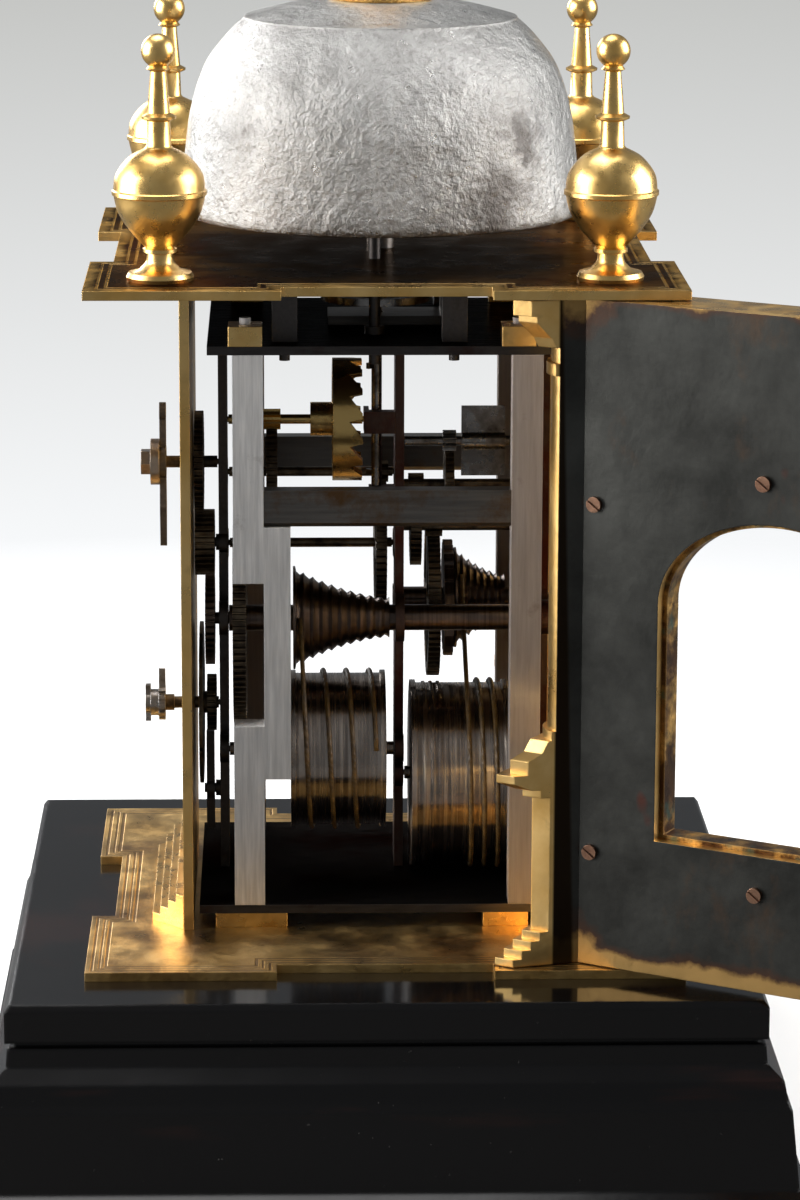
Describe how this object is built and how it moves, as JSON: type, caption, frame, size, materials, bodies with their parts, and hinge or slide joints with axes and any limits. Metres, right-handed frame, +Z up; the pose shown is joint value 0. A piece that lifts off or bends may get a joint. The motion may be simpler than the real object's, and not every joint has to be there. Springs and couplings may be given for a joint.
{
  "type": "tabernacle clock",
  "caption": "Square tabernacle clock with a bell under corner finials, two columned side doors opened on a wheeled iron movement, and a stepped black wood base.",
  "frame": {"origin": "centre of the wood base's bottom face", "axes": "+Z up, the dial side faces -Y, the pictured side with the right door faces +X"},
  "size_m": [0.3362, 0.2743, 0.3214],
  "materials": {
    "gilt_brass": "worn fire gilding, satin",
    "black_wood": "ebonised, polished",
    "bell_metal": "rough cast, grey patina",
    "iron": "filed and worn",
    "door_brass": "dark patina inside, gilt outside",
    "steel": "turned",
    "wheel_brass": "dull, filed",
    "dark_brass": "dark patina",
    "gut": "dried gut, oily"
  },
  "bodies": {
    "case": {"base_plate": "gilt_brass", "top_plate": "gilt_brass", "front_plate": "gilt_brass", "back_plate": "gilt_brass", "case_base_mouldings": "gilt_brass", "case_cornices": "gilt_brass", "corner_finials": "gilt_brass", "bell_nut": "gilt_brass", "movement_feet": "gilt_brass", "movement_nuts": "gilt_brass", "wood_base": "black_wood", "bell": "bell_metal", "bell_stand": "iron", "movement_bottom_plate": "iron", "movement_top_plate": "iron", "post_front_right": "iron", "plain_posts": "iron", "side_bars": "iron", "hanging_legs": "iron", "front_pivot_bar": "iron", "middle_pivot_bar": "iron", "rear_pivot_bar": "iron", "balance_cock": "wheel_brass", "going_gut": "gut", "strike_gut": "gut"},
    "right_pins": {"right_door_pins": "steel"},
    "right_door": {"right_door_panel": "door_brass", "right_window_frame": "gilt_brass", "right_door_mouldings": "gilt_brass", "right_front_column": "gilt_brass", "right_back_column": "gilt_brass", "right_door_screws": "steel"},
    "left_pins": {"left_door_pins": "steel"},
    "left_door": {"left_door_panel": "door_brass", "left_window_frame": "gilt_brass", "left_door_mouldings": "gilt_brass", "left_front_column": "gilt_brass", "left_back_column": "gilt_brass", "left_door_screws": "steel"},
    "going_fusee": {"going_great_wheel": "wheel_brass", "going_fusee": "wheel_brass"},
    "going_barrel": {"going_barrel": "dark_brass"},
    "second_wheel": {"second_wheel": "wheel_brass"},
    "third_wheel": {"third_wheel": "wheel_brass"},
    "crown_wheel": {"crown_wheel": "wheel_brass"},
    "verge": {"verge_and_balance": "steel"},
    "strike_fusee": {"strike_great_wheel": "wheel_brass", "strike_fusee": "wheel_brass"},
    "strike_barrel": {"strike_barrel": "dark_brass"},
    "pin_wheel": {"pin_wheel": "wheel_brass"},
    "warning_wheel": {"warning_wheel": "wheel_brass"},
    "fly": {"strike_fly": "steel"},
    "hammer": {"strike_hammer": "iron"},
    "idler": {"motion_idler": "wheel_brass"},
    "hour_wheel": {"hour_wheel": "wheel_brass", "main_hand": "iron", "hand_collar_and_nut": "wheel_brass"},
    "count_wheel": {"count_wheel": "wheel_brass", "small_hand": "wheel_brass"},
    "detent": {"detent_lever": "iron"}
  },
  "joints": [
    {"name": "right_pins_slide", "type": "slide", "parent": "case", "child": "right_pins", "axis": [1, 0, 0], "range_m": [-0.006, 0]},
    {"name": "right_door_turn", "type": "hinge", "parent": "right_pins", "child": "right_door", "pos_m": [0.0668, 0.0528, 0], "axis": [0, 0, 1], "range_deg": [-149.3, 10]},
    {"name": "left_pins_slide", "type": "slide", "parent": "case", "child": "left_pins", "axis": [1, 0, 0], "range_m": [0, 0.006]},
    {"name": "left_door_turn", "type": "hinge", "parent": "left_pins", "child": "left_door", "pos_m": [-0.0668, 0.0528, 0], "axis": [0, 0, 1], "range_deg": [-60, 93]},
    {"name": "second_wheel_turn", "type": "hinge", "parent": "case", "child": "second_wheel", "pos_m": [-0.01758, 0, 0.15496], "axis": [0, 1, 0], "continuous": true},
    {"name": "going_fusee_turn", "type": "hinge", "parent": "case", "child": "going_fusee", "pos_m": [0.0085, 0, 0.1399], "axis": [0, 1, 0], "continuous": true},
    {"name": "going_barrel_turn", "type": "hinge", "parent": "case", "child": "going_barrel", "pos_m": [0.008, 0, 0.1034], "axis": [0, 1, 0], "continuous": true},
    {"name": "third_wheel_turn", "type": "hinge", "parent": "case", "child": "third_wheel", "pos_m": [-0.01069, 0, 0.17619], "axis": [0, 1, 0], "continuous": true},
    {"name": "crown_wheel_turn", "type": "hinge", "parent": "case", "child": "crown_wheel", "pos_m": [-0.00133, 0, 0.1924], "axis": [0, 1, 0], "continuous": true},
    {"name": "idler_turn", "type": "hinge", "parent": "case", "child": "idler", "pos_m": [0.00251, 0, 0.15953], "axis": [0, 1, 0], "continuous": true},
    {"name": "hour_wheel_turn", "type": "hinge", "parent": "case", "child": "hour_wheel", "pos_m": [0, 0, 0.1811], "axis": [0, 1, 0], "continuous": true},
    {"name": "pin_wheel_turn", "type": "hinge", "parent": "case", "child": "pin_wheel", "pos_m": [-0.00907, 0, 0.16136], "axis": [0, 1, 0], "continuous": true},
    {"name": "strike_fusee_turn", "type": "hinge", "parent": "case", "child": "strike_fusee", "pos_m": [-0.0175, 0, 0.1394], "axis": [0, 1, 0], "continuous": true},
    {"name": "strike_barrel_turn", "type": "hinge", "parent": "case", "child": "strike_barrel", "pos_m": [0.0045, 0, 0.0956], "axis": [0, 1, 0], "continuous": true},
    {"name": "warning_wheel_turn", "type": "hinge", "parent": "case", "child": "warning_wheel", "pos_m": [-0.00599, 0, 0.1737], "axis": [0, 1, 0], "continuous": true},
    {"name": "fly_turn", "type": "hinge", "parent": "case", "child": "fly", "pos_m": [-0.00313, 0, 0.18609], "axis": [0, 1, 0], "continuous": true},
    {"name": "count_wheel_turn", "type": "hinge", "parent": "case", "child": "count_wheel", "pos_m": [0, 0, 0.1144], "axis": [0, 1, 0], "continuous": true},
    {"name": "verge_swing", "type": "hinge", "parent": "case", "child": "verge", "pos_m": [-0.00133, -0.0009, 0.2], "axis": [0, 0, 1], "range_deg": [-50, 50]},
    {"name": "hammer_swing", "type": "hinge", "parent": "case", "child": "hammer", "pos_m": [0.021, -0.002, 0.2], "axis": [0, 0, 1], "range_deg": [-20, 12]},
    {"name": "detent_swing", "type": "hinge", "parent": "case", "child": "detent", "pos_m": [-0.003, 0, 0.0894], "axis": [0, 1, 0], "range_deg": [-8, 8]}
  ],
  "couplings": [
    {"joint": "going_fusee_turn", "follows": "second_wheel_turn", "ratio": -0.086957},
    {"joint": "going_barrel_turn", "follows": "second_wheel_turn", "ratio": -0.052179},
    {"joint": "third_wheel_turn", "follows": "second_wheel_turn", "ratio": -8.25},
    {"joint": "crown_wheel_turn", "follows": "second_wheel_turn", "ratio": 55.688},
    {"joint": "idler_turn", "follows": "second_wheel_turn", "ratio": 0.12422},
    {"joint": "hour_wheel_turn", "follows": "second_wheel_turn", "ratio": -0.079051},
    {"joint": "strike_fusee_turn", "follows": "pin_wheel_turn", "ratio": -0.11429},
    {"joint": "strike_barrel_turn", "follows": "pin_wheel_turn", "ratio": -0.056682},
    {"joint": "warning_wheel_turn", "follows": "pin_wheel_turn", "ratio": -4.25},
    {"joint": "fly_turn", "follows": "pin_wheel_turn", "ratio": 18.062}
  ]
}
